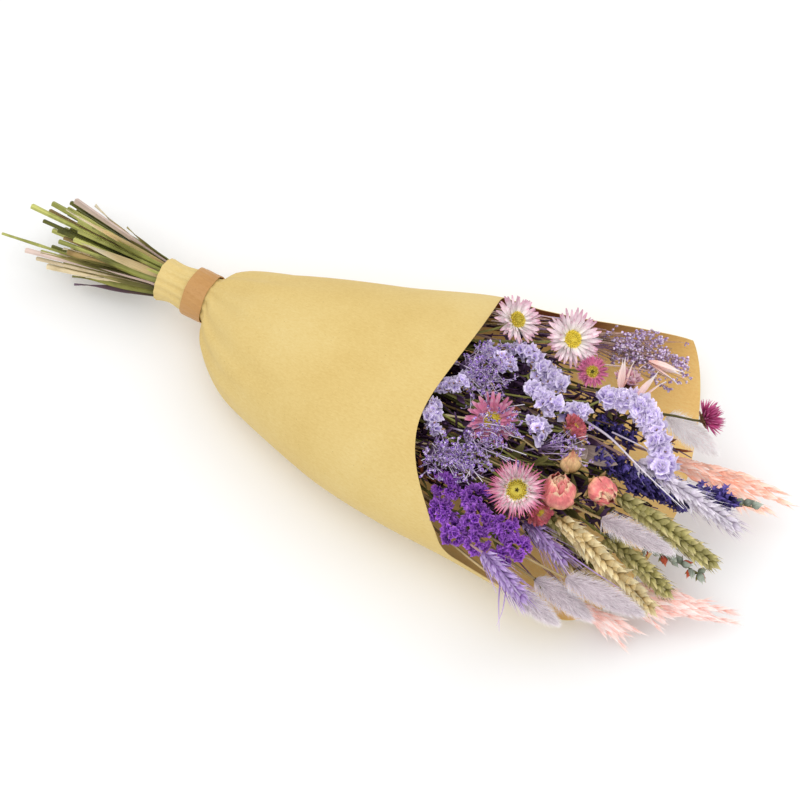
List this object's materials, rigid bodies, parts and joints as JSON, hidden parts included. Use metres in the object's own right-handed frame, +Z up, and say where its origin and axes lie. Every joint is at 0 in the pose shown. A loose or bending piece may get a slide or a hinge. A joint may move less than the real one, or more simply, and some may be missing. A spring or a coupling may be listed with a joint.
{
  "type": "dried flower bouquet in a paper wrap",
  "caption": "Mixed bouquet of dried flowers, wheat ears and bunny tails lying in a tapered kraft paper wrap, with a tape band round the neck and bare cut stems behind.",
  "frame": {"origin": "middle of the bouquet's footprint, on the surface that it lies on", "axes": "+X from the cut stem ends to the flower heads, +Z up"},
  "size_m": [0.6206, 0.2674, 0.1093],
  "materials": {
    "kraft_paper": "matte, fibrous",
    "tape": "satin",
    "twine": "rough",
    "pale_petals": "papery, matte",
    "pink_petals": "papery, satin",
    "salmon_petals": "papery, satin",
    "magenta_petals": "papery, matte",
    "flower_disc": "granular, matte",
    "rose_petals": "leathery, matte",
    "straw_ear": "dry husk, satin",
    "green_ear": "dry husk, satin",
    "lilac_ear": "dyed husk, satin",
    "grey_tail": "soft hair",
    "white_tail": "soft hair",
    "lavender_florets": "papery, matte",
    "violet_florets": "papery, matte",
    "sea_lavender": "fine twigs, matte",
    "broom_twigs": "fine twigs, matte",
    "larkspur_petals": "velvety, matte",
    "peach_plume": "feathery",
    "oat_husk": "dry husk, satin",
    "grey_buds": "dry pod, matte",
    "green_leaf": "dry leaf, matte",
    "taupe_leaf": "dry leaf, matte"
  },
  "bodies": {
    "root": {"paper_wrap": "kraft_paper", "tape_band": "tape", "stem_tie": "twine", "daisy_pale_mouth": "pale_petals", "daisy_pale_mouth_disc": "flower_disc", "daisy_pale_large": "pale_petals", "daisy_pale_large_disc": "flower_disc", "daisy_small": "pink_petals", "daisy_small_disc": "flower_disc", "daisy_among_sprays": "pink_petals", "daisy_among_sprays_disc": "flower_disc", "daisy_front": "pink_petals", "daisy_front_disc": "flower_disc", "daisy_salmon": "salmon_petals", "daisy_salmon_disc": "flower_disc", "daisy_upright": "pink_petals", "daisy_upright_disc": "flower_disc", "daisy_magenta": "magenta_petals", "daisy_magenta_disc": "flower_disc", "daisy_behind": "salmon_petals", "daisy_behind_disc": "flower_disc", "rose_large": "rose_petals", "rose_medium": "rose_petals", "rose_bud": "rose_petals", "bunny_tail_mauve": "grey_tail", "bunny_tail_near": "grey_tail", "bunny_tail_low": "grey_tail", "bunny_tail_outer": "white_tail", "bunny_tail_far": "white_tail", "wheat_straw_long": "straw_ear", "wheat_green_short": "green_ear", "wheat_green_middle": "green_ear", "wheat_straw_short": "straw_ear", "wheat_green_long": "green_ear", "lilac_wheat_near": "lilac_ear", "lilac_wheat_middle": "lilac_ear", "lilac_wheat_long": "lilac_ear", "broom": "broom_twigs", "larkspur_far": "larkspur_petals", "larkspur_near": "larkspur_petals", "larkspur_long": "larkspur_petals", "pink_panicle_far": "peach_plume", "pink_panicle_near": "peach_plume", "pink_panicle_low": "peach_plume", "pink_oat": "oat_husk", "bud_stem": "grey_buds", "leafy_stem": "green_leaf", "taupe_leaf": "taupe_leaf", "statice_mouth": "lavender_florets", "statice_far": "lavender_florets", "statice_middle": "lavender_florets", "statice_centre": "lavender_florets", "statice_branch": "lavender_florets", "violet_statice_mouth": "violet_florets", "violet_statice_middle": "violet_florets", "violet_statice_front": "violet_florets", "sea_lavender_mouth": "sea_lavender", "sea_lavender_middle": "sea_lavender", "sea_lavender_near": "sea_lavender", "sea_lavender_tip": "sea_lavender"}
  },
  "joints": []
}
